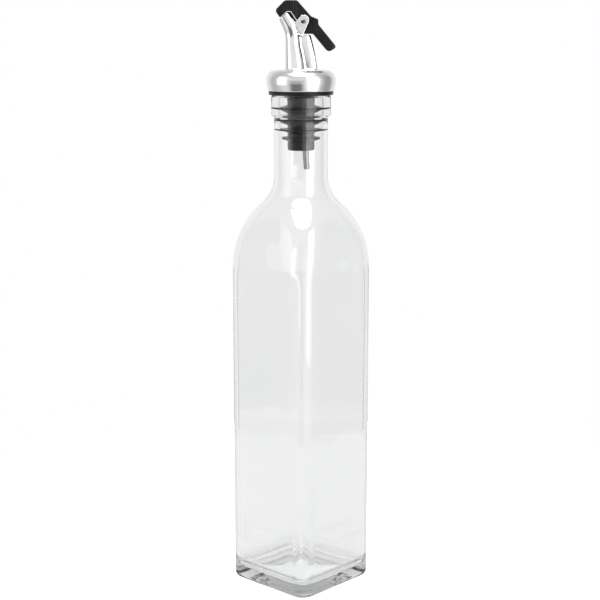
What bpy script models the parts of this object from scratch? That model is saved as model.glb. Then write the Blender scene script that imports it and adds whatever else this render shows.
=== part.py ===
"""Square glass oil bottle with a hinged pourer, modelled at its real size.

The bottle stands on z = 0 with its flat sides square to X and Y. The pourer is modelled with its
spout leaning towards -X, and an empty then turns it as a whole about the bottle's axis, so that it
pours over a corner. Its lever turns on a pin between the two ears of the spout.
"""

import math

import bmesh
import bpy
import numpy as np
from mathutils import Euler, Matrix, Vector

MM = 0.001
GAP = 0.3 * MM
WELD_DISTANCE = 0.01 * MM

# Glass: body, shoulder and neck
BODY_SIDE = 56.0 * MM
CORNER_RADIUS = 8.5 * MM
WALL = 2.8 * MM
BODY_TOP = 173.0 * MM
SHOULDER_RADIUS = 44.0 * MM
NECK_FILLET = 19.0 * MM
NECK_RADIUS = 14.0 * MM

# Glass: mouth
BEAD_BOTTOM = 251.6 * MM
BEAD_RADIUS = 15.6 * MM
LIP_TOP = 262.6 * MM
LIP_ROUNDING = 1.4 * MM
BEAD_ROUNDING = 1.0 * MM
INNER_LIP_ROUNDING = 0.8 * MM

# Glass: base
HEEL_RADIUS = 3.0 * MM
PUNT_INSET = 10.5 * MM
PUNT_DEPTH = 2.0 * MM
FLOOR_TOP = 6.5 * MM
FLOOR_RISE = 1.2 * MM
FLOOR_ROUNDING = 5.0 * MM
LEAST_CORNER = 2.0 * MM

# Pourer: its turn about the bottle's axis, and what sits in and on the mouth
POURER_TURN = math.radians(45.0)
STOPPER_END = 234.1 * MM
CORE_RADIUS = 7.0 * MM
FLANGE_BOTTOM = LIP_TOP + GAP
FLANGE_TOP = 264.3 * MM
FLANGE_RADIUS = 16.8 * MM
BORE_RADIUS = NECK_RADIUS - WALL
COLLAR_BOTTOM = FLANGE_TOP + GAP
COLLAR_TOP = 275.3 * MM
COLLAR_RADIUS = 18.0 * MM
COLLAR_FOOT_RADIUS = 17.1 * MM
COLLAR_ROUNDING = 5.2 * MM
COLLAR_FOOT_HEIGHT = 3.2 * MM
COLLAR_FOOT_ROUNDING = 0.5 * MM
PLINTH_RADIUS = 9.4 * MM
AIR_TUBE_RADIUS = 1.6 * MM
AIR_TUBE_WALL = 0.5 * MM
AIR_TUBE_X = 2.3 * MM
AIR_TUBE_TOP = 263.3 * MM
AIR_TUBE_END = 224.2 * MM
POUR_BORE_X = -2.8 * MM
POUR_BORE_RADIUS = 2.0 * MM

# Hinge of the lever, and how thick each layer across it is, measured from the middle plane
PIVOT = Vector((1.0 * MM, 0.0, 299.7 * MM))
PIN_RADIUS = 1.0 * MM
CHANNEL_HALF = 2.0 * MM
HUB_HALF = 2.9 * MM
EAR_INSIDE = HUB_HALF + GAP
EAR_OUTSIDE = 4.4 * MM
LEVER_HALF = 4.4 * MM
TAIL_HALF = 4.0 * MM
RIB_FLATTEN = 0.42
HUB_RADIUS = 2.13 * MM
REAR_LEAN = math.radians(33.9)
MOUTH_SLOPE = math.radians(44.0)
MOUTH_DISTANCE = 9.3 * MM
TIP_LEVEL = 5.0 * MM

MATERIALS = {
    "glass": ((0.93, 0.96, 0.95, 1.0), 0.04, 0.0),
    "rubber": ((0.02, 0.02, 0.02, 1.0), 0.55, 0.0),
    "satin_steel": ((0.75, 0.75, 0.75, 1.0), 0.32, 1.0),
    "chrome": ((0.86, 0.86, 0.87, 1.0), 0.08, 1.0),
    "tube_metal": ((0.45, 0.45, 0.46, 1.0), 0.35, 1.0),
    "black_plastic": ((0.03, 0.03, 0.03, 1.0), 0.35, 0.0),
}


def clear_scene():
    for old in list(bpy.data.objects):
        bpy.data.objects.remove(old)


def new_collection(name):
    collection = bpy.data.collections.new(name)
    bpy.context.scene.collection.children.link(collection)
    return collection


def new_material(name):
    colour, roughness, metallic = MATERIALS[name]
    material = bpy.data.materials.new(name)
    material.use_nodes = True
    shader = material.node_tree.nodes["Principled BSDF"]
    shader.inputs["Base Color"].default_value = colour
    shader.inputs["Roughness"].default_value = roughness
    shader.inputs["Metallic"].default_value = metallic
    return material


def new_object(name, mesh, collection):
    thing = bpy.data.objects.new(name, mesh)
    collection.objects.link(thing)
    return thing


def dress(thing, material_name, sharp_angle=35.0):
    """Gives a finished part its material and smooth shading that keeps real edges."""
    thing.data.materials.append(new_material(material_name))
    thing.data.shade_smooth()
    thing.data.set_sharp_from_angle(angle=math.radians(sharp_angle))


def boolean(target, tool, operation):
    """Joins or cuts target with a tool, which becomes a guide that is not part of the bottle."""
    tool.hide_render = True
    tool.display_type = "WIRE"
    step = target.modifiers.new(f"{operation.title()} {tool.name}", "BOOLEAN")
    step.operation = operation
    step.object = tool


def weld(mesh):
    surface = bmesh.new()
    surface.from_mesh(mesh)
    bmesh.ops.remove_doubles(surface, verts=surface.verts, dist=WELD_DISTANCE)
    bmesh.ops.recalc_face_normals(surface, faces=surface.faces)
    surface.to_mesh(mesh)
    surface.free()


def curve_to_mesh(thing, collection):
    """Turns a curve object into a welded mesh object of the same name, place and turn."""
    name = thing.name
    thing.name = name + "_curve"
    bpy.context.view_layer.update()
    evaluated = thing.evaluated_get(bpy.context.evaluated_depsgraph_get())
    mesh = bpy.data.meshes.new_from_object(evaluated)
    weld(mesh)
    solid = new_object(name, mesh, collection)
    solid.matrix_world = thing.matrix_world
    bpy.data.objects.remove(thing)
    return solid


def arc(centre, radius, start, end, steps):
    """Points on a circle from one angle to another, in degrees, both ends included."""
    angles = np.radians(np.linspace(start, end, steps + 1))
    return [(centre[0] + radius * math.cos(a), centre[1] + radius * math.sin(a)) for a in angles]


def rounded(corners, steps=4):
    """Outline through (x, y, radius) corners, where each corner with a radius becomes an arc.

    The arc touches both sides at radius / tan(half the corner's angle) from the corner.
    """
    outline = []
    for index, (x, y, radius) in enumerate(corners):
        corner = Vector((x, y))
        if radius == 0:
            outline.append((x, y))
            continue
        before = (Vector(corners[index - 1][:2]) - corner).normalized()
        after = (Vector(corners[(index + 1) % len(corners)][:2]) - corner).normalized()
        half = before.angle(after) / 2
        reach = radius / math.tan(half)
        middle = corner + (before + after).normalized() * radius / math.sin(half)
        first = corner + before * reach - middle
        turn = first.angle_signed(corner + after * reach - middle)
        for step in range(steps + 1):
            spoke = Matrix.Rotation(-turn * step / steps, 2) @ first
            outline.append(tuple(middle + spoke))
    return outline


def scaled(points, factor=MM):
    return [tuple(value * factor for value in point) for point in points]


def plate(name, outline, half_thickness, collection, upright=True, edge=0.0):
    """Flat outline made solid. Upright, it stands in the XZ plane and its thickness is along Y."""
    data = bpy.data.curves.new(name, "CURVE")
    data.dimensions = "2D"
    data.fill_mode = "BOTH"
    data.extrude = half_thickness - edge
    data.bevel_depth = edge
    data.bevel_resolution = 1
    data.offset = -edge
    spline = data.splines.new("POLY")
    spline.points.add(len(outline) - 1)
    for point, (x, y) in zip(spline.points, outline):
        point.co = (x, y, 0.0, 1.0)
    spline.use_cyclic_u = True
    thing = new_object(name, data, collection)
    if upright:
        thing.rotation_euler = Euler((math.pi / 2, 0.0, 0.0))
    return curve_to_mesh(thing, collection)


def smooth_path(stations, steps):
    """Points on a smooth curve through every station, each with as many values as a station.

    Between two stations each value follows the cubic whose slope at a station is half the
    difference of its two neighbours.
    """
    values = np.array(stations, float)
    padded = np.vstack([2 * values[0] - values[1], values, 2 * values[-1] - values[-2]])
    path = []
    for index in range(1, len(padded) - 2):
        p0, p1, p2, p3 = padded[index - 1:index + 3]
        for t in np.arange(steps) / steps:
            path.append(0.5 * (2 * p1 + (p2 - p0) * t + (2 * p0 - 5 * p1 + 4 * p2 - p3) * t ** 2
                               + (3 * p1 - p0 - 3 * p2 + p3) * t ** 3))
    path.append(values[-1])
    return path


def tube(name, path, collection, sides=24, capped=True):
    """Round bar along (x, z, radius) points in the XZ plane."""
    data = bpy.data.curves.new(name, "CURVE")
    data.dimensions = "3D"
    data.bevel_depth = MM
    data.bevel_resolution = sides // 2 - 2
    data.use_fill_caps = capped
    spline = data.splines.new("POLY")
    spline.points.add(len(path) - 1)
    for point, (x, z, radius) in zip(spline.points, path):
        point.co = (x, 0.0, z, 1.0)
        point.radius = radius / MM
    return curve_to_mesh(new_object(name, data, collection), collection)


def turned(name, profile, collection, segments, closed=False):
    """Profile of (radius, z) points turned about the Z axis; it runs down the outer side."""
    mesh = bpy.data.meshes.new(name)
    count = len(profile)
    edges = [(index, index + 1) for index in range(count - 1)]
    if closed:
        edges.append((count - 1, 0))
    mesh.from_pydata([(radius, 0.0, z) for radius, z in profile], edges, [])
    thing = new_object(name, mesh, collection)
    turn = thing.modifiers.new("Turn", "SCREW")
    turn.steps = segments
    turn.render_steps = segments
    turn.use_merge_vertices = True
    turn.merge_threshold = WELD_DISTANCE
    return thing


def cylinder(name, radius, length, collection, segments, upright=True):
    """Closed cylinder about the origin, along Z when upright and otherwise along Y."""
    surface = bmesh.new()
    turn = Matrix.Identity(4) if upright else Matrix.Rotation(math.pi / 2, 4, "X")
    bmesh.ops.create_cone(surface, cap_ends=True, segments=segments, radius1=radius,
                          radius2=radius, depth=length, matrix=turn)
    mesh = bpy.data.meshes.new(name)
    surface.to_mesh(mesh)
    surface.free()
    return new_object(name, mesh, collection)


# Glass bottle

FLAT_STEPS = 3
CORNER_STEPS = 7


def section_angles():
    """Polar angles of one ring of points, close together where the body's corners bend."""
    half = BODY_SIDE / 2
    bend = math.atan2(half - CORNER_RADIUS, half)
    eighth = np.linspace(0.0, bend, FLAT_STEPS, endpoint=False)
    corner = np.linspace(bend, math.pi / 2 - bend, CORNER_STEPS, endpoint=False)
    last = np.linspace(math.pi / 2 - bend, math.pi / 2, FLAT_STEPS, endpoint=False)
    quarter = np.concatenate([eighth, corner, last])
    return np.concatenate([quarter + turn * math.pi / 2 for turn in range(4)])


def section_reach(half_side, radius, angles):
    """Distance of a rounded square's edge from its centre at each polar angle.

    On a flat it is half_side / cos(angle); round a corner it is where a ray meets the corner's
    circle. With radius equal to half_side the section is a full circle.
    """
    folded = np.abs((angles + math.pi / 4) % (math.pi / 2) - math.pi / 4)
    centre = half_side - radius
    along = centre * (np.cos(folded) + np.sin(folded))
    bend = along + np.sqrt(np.maximum(along ** 2 - 2 * centre ** 2 + radius ** 2, 0.0))
    return np.where(half_side * np.tan(folded) <= centre, half_side / np.cos(folded), bend)


def inset_section(inset):
    """Body section moved inwards all round; a corner keeps at least a small radius."""
    return BODY_SIDE / 2 - inset, max(CORNER_RADIUS - inset, LEAST_CORNER)


def corner_section(reach, squareness):
    """Section whose corners are at a distance reach from the axis.

    squareness is 1 for the body's own shape and 0 for a circle.
    """
    roundness = 1 - squareness * (1 - 2 * CORNER_RADIUS / BODY_SIDE)
    half_side = reach / (math.sqrt(2) * (1 - roundness) + roundness)
    return half_side, roundness * half_side


def shoulder_sections(depth, steps):
    """Sections from body to neck at a depth below the outer surface, bottom first.

    Seen at a corner, the shoulder is a convex arc out of the body that meets a hollow arc into the
    neck on the line between their centres. The flats fade out with the height.
    """
    body_reach = math.sqrt(2) * (BODY_SIDE / 2 - CORNER_RADIUS) + CORNER_RADIUS
    low = np.array([body_reach - SHOULDER_RADIUS, BODY_TOP])
    across = NECK_RADIUS + NECK_FILLET - low[0]
    rise = math.sqrt((SHOULDER_RADIUS + NECK_FILLET) ** 2 - across ** 2)
    high = low + np.array([across, rise])
    meeting = math.degrees(math.atan2(rise, across))
    outline = arc(low, SHOULDER_RADIUS - depth, 0.0, meeting, 2 * steps)
    outline += arc(high, NECK_FILLET + depth, 180.0 + meeting, 180.0, steps)[1:]
    sections = []
    for reach, z in outline:
        share = min((z - BODY_TOP) / rise, 1.0)
        fade = 1 - share ** 2 * (3 - 2 * share)
        sections.append((*corner_section(reach, fade), z))
    return sections


def round_sections(outline):
    return [(radius, radius, z) for radius, z in outline]


def outer_sections():
    """Sections up the outside, from near the middle of the hollow base to the top of the lip."""
    sections = []
    for share in (0.35, 0.7):
        half_side = (BODY_SIDE / 2 - PUNT_INSET) * share
        sections.append((half_side, half_side * 0.35, PUNT_DEPTH * (1 - share ** 3)))
    sections.append((*inset_section(PUNT_INSET), 0.0))
    for inset, z in arc((HEEL_RADIUS, HEEL_RADIUS), HEEL_RADIUS, 270.0, 180.0, 4):
        sections.append((*inset_section(inset), z))
    sections += shoulder_sections(0.0, 5)
    neck = [(NECK_RADIUS, BEAD_BOTTOM)]
    bead_corner = (BEAD_RADIUS - BEAD_ROUNDING, BEAD_BOTTOM + 2 * BEAD_ROUNDING)
    neck += arc(bead_corner, BEAD_ROUNDING, -60.0, 0.0, 2)
    lip_corner = (BEAD_RADIUS - LIP_ROUNDING, LIP_TOP - LIP_ROUNDING)
    neck += arc(lip_corner, LIP_ROUNDING, 0.0, 90.0, 3)
    return sections + round_sections(neck)


def inner_sections():
    """Sections down the inside, from the top of the mouth to near the middle of the floor."""
    mouth_corner = (BORE_RADIUS + INNER_LIP_ROUNDING, LIP_TOP - INNER_LIP_ROUNDING)
    mouth = arc(mouth_corner, INNER_LIP_ROUNDING, 90.0, 180.0, 2)
    sections = round_sections(mouth) + shoulder_sections(WALL, 5)[::-1]
    floor_corner = (WALL + FLOOR_ROUNDING, FLOOR_TOP + FLOOR_ROUNDING)
    for inset, z in arc(floor_corner, FLOOR_ROUNDING, 180.0, 270.0, 4):
        sections.append((*inset_section(inset), z))
    half_side = BODY_SIDE / 2 - WALL - FLOOR_ROUNDING
    sections.append((half_side * 0.5, half_side * 0.3, FLOOR_TOP + 0.8 * FLOOR_RISE))
    return sections


def build_glass(collection):
    """One closed skin of glass: rings of points from under the base, over the lip, to the floor."""
    angles = section_angles()
    count = len(angles)
    rings = []
    for half_side, radius, z in outer_sections() + inner_sections():
        reach = section_reach(half_side, radius, angles)
        rings.append(np.stack([reach * np.cos(angles), reach * np.sin(angles), np.full(count, z)], 1))
    points = np.vstack(rings + [[(0.0, 0.0, PUNT_DEPTH)], [(0.0, 0.0, FLOOR_TOP + FLOOR_RISE)]])
    faces = []
    for ring in range(len(rings) - 1):
        for side in range(count):
            low, high = ring * count, (ring + 1) * count
            following = (side + 1) % count
            faces.append((low + side, low + following, high + following, high + side))
    under, floor = len(points) - 2, len(points) - 1
    last = (len(rings) - 1) * count
    for side in range(count):
        following = (side + 1) % count
        faces.append((under, following, side))
        faces.append((floor, last + side, last + following))
    mesh = bpy.data.meshes.new("bottle_glass")
    mesh.from_pydata(points.tolist(), [], faces)
    weld(mesh)
    dress(new_object("bottle_glass", mesh, collection), "glass")


# Stopper, air tube and collar

# Radius and height where the stopper narrows below its flange
WAIST = scaled([(8.4, 262.9), (8.3, 261.8), (7.3, 260.0)])

# Height, tip radius, root radius, half thickness at the tip and at the root of each rubber fin
FINS = scaled([
    (255.4, 10.9, 8.4, 0.4, 1.5),
    (249.8, 10.9, 8.4, 0.5, 1.7),
    (244.4, 10.9, 7.9, 0.4, 0.7),
    (240.0, 10.0, 7.9, 0.4, 0.7),
])


def build_stopper(parts, cutters):
    profile = [(0.0, FLANGE_TOP), (FLANGE_RADIUS, FLANGE_TOP), (FLANGE_RADIUS, FLANGE_BOTTOM)]
    profile += WAIST
    for z, tip, root, thin, thick in FINS:
        profile += [(CORE_RADIUS, z + thick + MM / 2), (root, z + thick), (tip, z + thin)]
        profile += [(tip, z - thin), (root, z - thick), (CORE_RADIUS, z - thick - MM / 2)]
    profile += [(CORE_RADIUS, STOPPER_END), (0.0, STOPPER_END)]
    stopper = turned("stopper", profile, parts, 36)
    height = FLANGE_TOP - STOPPER_END + 4 * MM
    passage = cylinder("stopper_passage", POUR_BORE_RADIUS, height, cutters, 16)
    passage.location = (POUR_BORE_X, 0.0, (FLANGE_TOP + STOPPER_END) / 2)
    vent = cylinder("stopper_vent", AIR_TUBE_RADIUS + GAP, height, cutters, 16)
    vent.location = (AIR_TUBE_X, 0.0, (FLANGE_TOP + STOPPER_END) / 2)
    for tool in (passage, vent):
        boolean(stopper, tool, "DIFFERENCE")
    dress(stopper, "rubber")
    return [stopper, passage, vent]


def build_air_tube(parts):
    """Thin metal tube up through the stopper, with its free end bent a little away."""
    stations = [(0.0, AIR_TUBE_TOP), (0.0, 236.0 * MM), (0.25 * MM, 231.0 * MM),
                (0.75 * MM, AIR_TUBE_END)]
    path = [(AIR_TUBE_X + shift, z, AIR_TUBE_RADIUS) for shift, z in stations]
    air_tube = tube("air_tube", path, parts, sides=16, capped=False)
    wall = air_tube.modifiers.new("Wall", "SOLIDIFY")
    wall.thickness = AIR_TUBE_WALL
    wall.offset = -1.0
    dress(air_tube, "tube_metal")
    return [air_tube]


def build_collar(parts):
    """Domed ring that narrows a little towards its foot."""
    hole = PLINTH_RADIUS + GAP
    dome = (COLLAR_RADIUS - COLLAR_ROUNDING, COLLAR_TOP - COLLAR_ROUNDING)
    foot = (COLLAR_FOOT_RADIUS - COLLAR_FOOT_ROUNDING, COLLAR_BOTTOM + COLLAR_FOOT_ROUNDING)
    profile = [(hole, COLLAR_TOP)] + arc(dome, COLLAR_ROUNDING, 90.0, 0.0, 7)
    profile += [(COLLAR_RADIUS, COLLAR_BOTTOM + COLLAR_FOOT_HEIGHT)]
    profile += arc(foot, COLLAR_FOOT_ROUNDING, 0.0, -90.0, 2) + [(hole, COLLAR_BOTTOM)]
    collar = turned("collar", profile, parts, 56, closed=True)
    dress(collar, "satin_steel")
    return [collar]


# Spout with its ears and the hinge pin

# Centre and radius of the pouring barrel up the stem and along the leaning tip: x, z, radius
BARREL = scaled([
    (-2.8, 272.0, 5.4), (-3.3, 280.0, 4.85), (-3.95, 287.0, 4.2), (-4.2, 292.3, 3.98),
    (-5.45, 297.5, 4.15), (-8.73, 303.2, 3.62), (-11.1, 307.6, 3.4),
])
# The same for the flattened rib behind it, whose top the lever's channel straddles
RIB = scaled([(4.9, 272.0, 3.9), (4.0, 279.0, 4.1), (2.75, 286.0, 3.9), (1.45, 292.7, 3.5)])

# Circle that rounds the top of the ears, relative to the pivot
EAR_CENTRE = (0.6 * MM, 0.7 * MM)
EAR_RADIUS = 2.55 * MM
# Ears below that circle: down the rear edge, round the foot and up the front edge
EAR_FOOT = scaled([(0.3, -5.6), (-0.3, -6.4), (-1.1, -6.6), (-2.6, -5.3), (-3.8, -2.8), (-4.2, -0.8)])
EAR_EDGE = 0.3 * MM
SLOT_BOTTOM = -6.75 * MM

# The lever's channel, which straddles the rib: a closed outline relative to the pivot
CHANNEL = scaled([(2.2, -9.0), (2.2, -5.7), (5.6, -2.6), (14.15, -12.84), (11.15, -16.28)])
# Anything wider or higher than this clears the whole lever or tip
PAST = 20 * MM


def from_pivot(outline):
    """Moves an outline given relative to the pivot to its place on the pourer."""
    return [(x + PIVOT.x, z + PIVOT.z) for x, z in outline]


def along_mouth(distance, x):
    """Height at x, relative to the pivot, of the sloping line at a distance from the pivot."""
    return (distance + x * math.sin(MOUTH_SLOPE)) / math.cos(MOUTH_SLOPE)


def mouth_x(distance, z):
    return (z * math.cos(MOUTH_SLOPE) - distance) / math.sin(MOUTH_SLOPE)


def behind_tip(distance, z):
    """x at a height, relative to the pivot, of the line along the tip's rear, at a distance."""
    return -(distance + z * math.sin(REAR_LEAN)) / math.cos(REAR_LEAN)


def build_spout(parts, cutters):
    spout = tube("spout", smooth_path(BARREL, 3), parts)

    rib = tube("spout_rib", smooth_path(RIB, 2), cutters)
    rib.data.transform(Matrix.Diagonal((1.0, RIB_FLATTEN, 1.0, 1.0)))

    plinth_height = COLLAR_TOP + GAP - COLLAR_BOTTOM
    plinth = cylinder("spout_plinth", PLINTH_RADIUS, plinth_height, cutters, 40)
    plinth.location = (0.0, 0.0, COLLAR_BOTTOM + plinth_height / 2)

    ears = arc(EAR_CENTRE, EAR_RADIUS, 138.0, -28.0, 10) + EAR_FOOT
    ear_block = plate("spout_ears", from_pivot(ears), EAR_OUTSIDE, cutters, edge=EAR_EDGE)
    for solid in (rib, plinth, ear_block):
        boolean(spout, solid, "UNION")

    rear, front = HUB_RADIUS + GAP + 0.07 * MM, -2.6 * MM
    slot = [(front, SLOT_BOTTOM), (front, -6.2 * MM)]
    slot += [(behind_tip(rear, z), z) for z in (-1.5 * MM, 4.0 * MM)]
    slot += [(-5.4 * MM, 7 * MM), (7 * MM, 7 * MM), (7 * MM, SLOT_BOTTOM)]
    ear_slot = plate("ear_slot", from_pivot(slot), EAR_INSIDE, cutters)

    tip = [(-PAST, along_mouth(MOUTH_DISTANCE, -PAST)), (mouth_x(MOUTH_DISTANCE, TIP_LEVEL), TIP_LEVEL)]
    tip += [(-2 * MM, TIP_LEVEL), (-2 * MM, PAST), (-PAST, PAST)]
    tip_cut = plate("tip_cut", from_pivot(tip), PAST, cutters)

    foot = (POUR_BORE_X, COLLAR_BOTTOM - 2 * MM, 0.0)
    passage_path = smooth_path([foot] + BARREL[1:], 3)
    passage = tube("spout_passage", [(x, z, POUR_BORE_RADIUS) for x, z, _ in passage_path],
                   cutters, sides=16)

    pin_hole = cylinder("ear_pin_hole", PIN_RADIUS + GAP, PAST, cutters, 16, upright=False)
    pin_hole.location = PIVOT
    for tool in (ear_slot, tip_cut, passage, pin_hole):
        boolean(spout, tool, "DIFFERENCE")
    dress(spout, "chrome")
    return [spout, rib, plinth, ear_block, ear_slot, tip_cut, passage, pin_hole]


def build_pin(parts):
    pin = cylinder("hinge_pin", PIN_RADIUS, 2 * EAR_OUTSIDE - 0.2 * MM, parts, 20, upright=False)
    pin.location = PIVOT
    dress(pin, "tube_metal")
    return [pin]


# Lever: cap over the mouth of the spout, hub between the ears, and thumb tail

def lever_side_outline():
    """Side view of the lever relative to its pivot: along the top, round the tail and back."""
    under_cap = MOUTH_DISTANCE + GAP
    cap_level = TIP_LEVEL + GAP
    lip = -11.8 * MM
    top = [(-14.45, 5.7, 1.8), (-9.35, 10.8, 2.4), (-3.1, 10.8, 1.6), (4.1, 2.7, 1.5),
           (7.75, 1.25, 0.7), (7.85, -1.45, 1.0), (17.3, -12.84, 1.2), (13.0, -15.4, 1.8),
           (5.2, -6.2, 0.6), (0.4, -6.2, 0.4), (0.4, -3.6, 0.5)]
    outline = rounded([(lip, along_mouth(under_cap, lip), 0.0)] + scaled(top) + [
        (0.0, -HUB_RADIUS, 0.0)])
    outline += arc((0.0, 0.0), HUB_RADIUS, 240.0, 180.0 + math.degrees(REAR_LEAN), 2)
    outline.append((behind_tip(HUB_RADIUS, cap_level), cap_level))
    outline.append((mouth_x(under_cap, cap_level), cap_level))
    return outline


def lever_plan_outline():
    """Seen from above: a round-ended cap, a narrow waist between the ears, and a tail."""
    cap, waist, tail = LEVER_HALF / MM, HUB_HALF / MM, TAIL_HALF / MM
    one_side = [(-15.0, -cap, 3.6), (-4.5, -cap, 0.7), (-4.0, -waist, 0.5),
                (4.3, -waist, 0.5), (5.3, -tail, 0.7), (18.0, -tail, 3.2)]
    other_side = [(x, -y, radius) for x, y, radius in reversed(one_side)]
    return rounded(scaled(one_side + other_side))


def build_lever(parts, cutters):
    lever = plate("lever", lever_side_outline(), LEVER_HALF + MM, parts)
    plan = plate("lever_plan", lever_plan_outline(), PAST, cutters, upright=False)
    channel = plate("lever_channel", CHANNEL, CHANNEL_HALF, cutters)
    pin_hole = cylinder("lever_pin_hole", PIN_RADIUS + GAP, PAST, cutters, 16, upright=False)
    boolean(lever, plan, "INTERSECT")
    boolean(lever, channel, "DIFFERENCE")
    boolean(lever, pin_hole, "DIFFERENCE")
    dress(lever, "black_plastic")
    group = [lever, plan, channel, pin_hole]
    for thing in group:
        thing.location = PIVOT
    return group


def build():
    clear_scene()
    parts = new_collection("oil_bottle")
    cutters = new_collection("cutters")
    build_glass(parts)
    pourer = new_object("pourer", None, parts)
    pourer.rotation_euler.z = POURER_TURN
    pieces = build_stopper(parts, cutters) + build_air_tube(parts) + build_collar(parts)
    pieces += build_spout(parts, cutters) + build_pin(parts) + build_lever(parts, cutters)
    for piece in pieces:
        piece.parent = pourer


build()
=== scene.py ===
# %% [markdown]
# # A square oil bottle with a flip-top pourer
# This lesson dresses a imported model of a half-litre oil bottle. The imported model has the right
# sizes and places but plain facets. Each cell below makes one real piece again with a fine
# surface, gives it a finish, and hands it to the body that it moves with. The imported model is
# only looked at: nothing in it is moved.

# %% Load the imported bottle
import math

import bpy
import numpy as np
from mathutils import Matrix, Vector


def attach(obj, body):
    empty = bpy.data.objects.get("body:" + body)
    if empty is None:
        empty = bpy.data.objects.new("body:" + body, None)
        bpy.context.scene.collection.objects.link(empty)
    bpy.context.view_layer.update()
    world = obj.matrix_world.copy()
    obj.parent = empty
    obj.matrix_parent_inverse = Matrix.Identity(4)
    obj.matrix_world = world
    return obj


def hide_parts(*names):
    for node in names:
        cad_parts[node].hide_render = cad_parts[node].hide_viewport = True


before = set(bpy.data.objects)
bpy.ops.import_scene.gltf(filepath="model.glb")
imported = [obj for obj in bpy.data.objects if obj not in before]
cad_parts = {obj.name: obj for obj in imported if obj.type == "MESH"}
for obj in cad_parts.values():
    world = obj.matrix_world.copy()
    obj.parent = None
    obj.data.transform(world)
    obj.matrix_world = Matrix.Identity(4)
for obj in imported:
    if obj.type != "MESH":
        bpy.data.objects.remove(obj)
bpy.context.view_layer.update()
MM = 0.001

# %% [markdown]
# ## From a grid of points to a mesh
# Almost every piece here is a skin of rings: a bottle is a stack of sections, a turned collar is a
# profile spun about an axis, and a tube is a circle carried along a path. One helper turns any such
# grid of points into a closed mesh. It joins neighbours by their place in the grid, and closes the
# ends with a fan to a middle point or, for a ring such as the collar, joins the last row to the
# first. The sign of the enclosed volume says whether the faces point out.

# %% Closed skins
ALONG_X, ALONG_Y, ALONG_Z = np.eye(3)


def enclosed_volume(points, triangles):
    """Sum over the triangles of a . (b x c) / 6, which is negative when the faces point inwards."""
    a, b, c = (points[triangles[:, corner]] for corner in range(3))
    return np.einsum("ij,ij->i", a, np.cross(b, c)).sum() / 6


def new_object(name, data):
    """Object at the origin for a mesh, a light or a camera, in the scene."""
    made = bpy.data.objects.new(name, data)
    bpy.context.scene.collection.objects.link(made)
    return made


def new_piece(name, points, faces, sharp_angle=40.0):
    """Object at the origin from points and faces, shaded smooth except at edges over an angle."""
    mesh = bpy.data.meshes.new(name)
    mesh.from_pydata(np.asarray(points).tolist(), [], faces)
    mesh.validate()
    mesh.calc_loop_triangles()
    triangles = np.empty(len(mesh.loop_triangles) * 3, int)
    mesh.loop_triangles.foreach_get("vertices", triangles)
    if enclosed_volume(np.asarray(points), triangles.reshape(-1, 3)) < 0:
        mesh.flip_normals()
    mesh.shade_smooth()
    mesh.set_sharp_from_angle(angle=math.radians(sharp_angle))
    return new_object(name, mesh)


def skin(name, rings, closed=False, sharp_angle=40.0):
    """Closed mesh from rings of points, an array of rows x columns x 3.

    Each face joins two neighbours in a ring to the same two in the next. A closed skin joins the
    last ring to the first; any other gets the mean of its end rings as a middle point there.
    """
    rows, columns, _ = rings.shape
    place = np.arange(rows * columns).reshape(rows, columns)
    if closed:
        place = np.vstack([place, place[:1]])
    beside = np.roll(place, -1, axis=1)
    quads = np.stack([place[:-1], beside[:-1], beside[1:], place[1:]], -1).reshape(-1, 4).tolist()
    points = rings.reshape(-1, 3)
    if not closed:
        ends = rings[[0, -1]].mean(axis=1)
        first = np.full(columns, len(points))
        quads += np.stack([first, beside[0], place[0]], -1).tolist()
        quads += np.stack([first + 1, place[-1], beside[-1]], -1).tolist()
        points = np.vstack([points, ends])
    return new_piece(name, points, quads, sharp_angle)


print("helpers for closed skins are ready")

# %% [markdown]
# ## Outlines with round corners
# Moulded and turned pieces have no perfectly sharp corner, and a round one is what catches the
# light. An outline is a few corners, each with its own radius. A fillet touches both sides at the
# radius divided by the tangent of half the corner's angle, so all are worked out in one array.

# %% Arcs and rounded outlines
SAME_POINT = 1e-7


def unit(vectors):
    """Vectors of length one in the same directions."""
    return vectors / np.linalg.norm(vectors, axis=-1, keepdims=True)


def arc(centre, radius, start, end, steps):
    """Points centre + radius (cos a, sin a) for angles in degrees from start to end."""
    angle = np.radians(np.linspace(start, end, steps + 1))
    return np.asarray(centre) + radius * np.stack([np.cos(angle), np.sin(angle)], -1)


def rounded(corners, steps=6):
    """Closed outline through (x, y, radius) corners, with an arc of that radius at each.

    Its centre lies on the bisector at radius / sin(half angle), and its points are the first spoke
    turned in equal steps through 180 degrees less the corner's angle. Of points that fall
    together, one is kept.
    """
    corners = np.asarray(corners, float)
    spot, radius = corners[:, :2], corners[:, 2:]
    before = unit(np.roll(spot, 1, axis=0) - spot)
    after = unit(np.roll(spot, -1, axis=0) - spot)
    half = np.arccos(np.clip((before * after).sum(-1, keepdims=True), -1, 1)) / 2
    centre = spot + unit(before + after) * radius / np.sin(half)
    spoke = spot + before * radius / np.tan(half) - centre
    side = np.sign(before[:, :1] * after[:, 1:] - before[:, 1:] * after[:, :1])
    turn = side * (2 * half - math.pi) * np.linspace(0, 1, steps + 1)
    cosine, sine = np.cos(turn)[..., None], np.sin(turn)[..., None]
    across = np.stack([-spoke[:, 1], spoke[:, 0]], -1)
    outline = (centre[:, None] + cosine * spoke[:, None] + sine * across[:, None]).reshape(-1, 2)
    return outline[np.linalg.norm(outline - np.roll(outline, 1, axis=0), axis=1) > SAME_POINT]


SQUARE = [(0, 0, 2), (10, 0, 2), (10, 10, 2), (0, 10, 2)]
print("a 10 mm square with 2 mm corners has", len(rounded(SQUARE)), "points")

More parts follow.
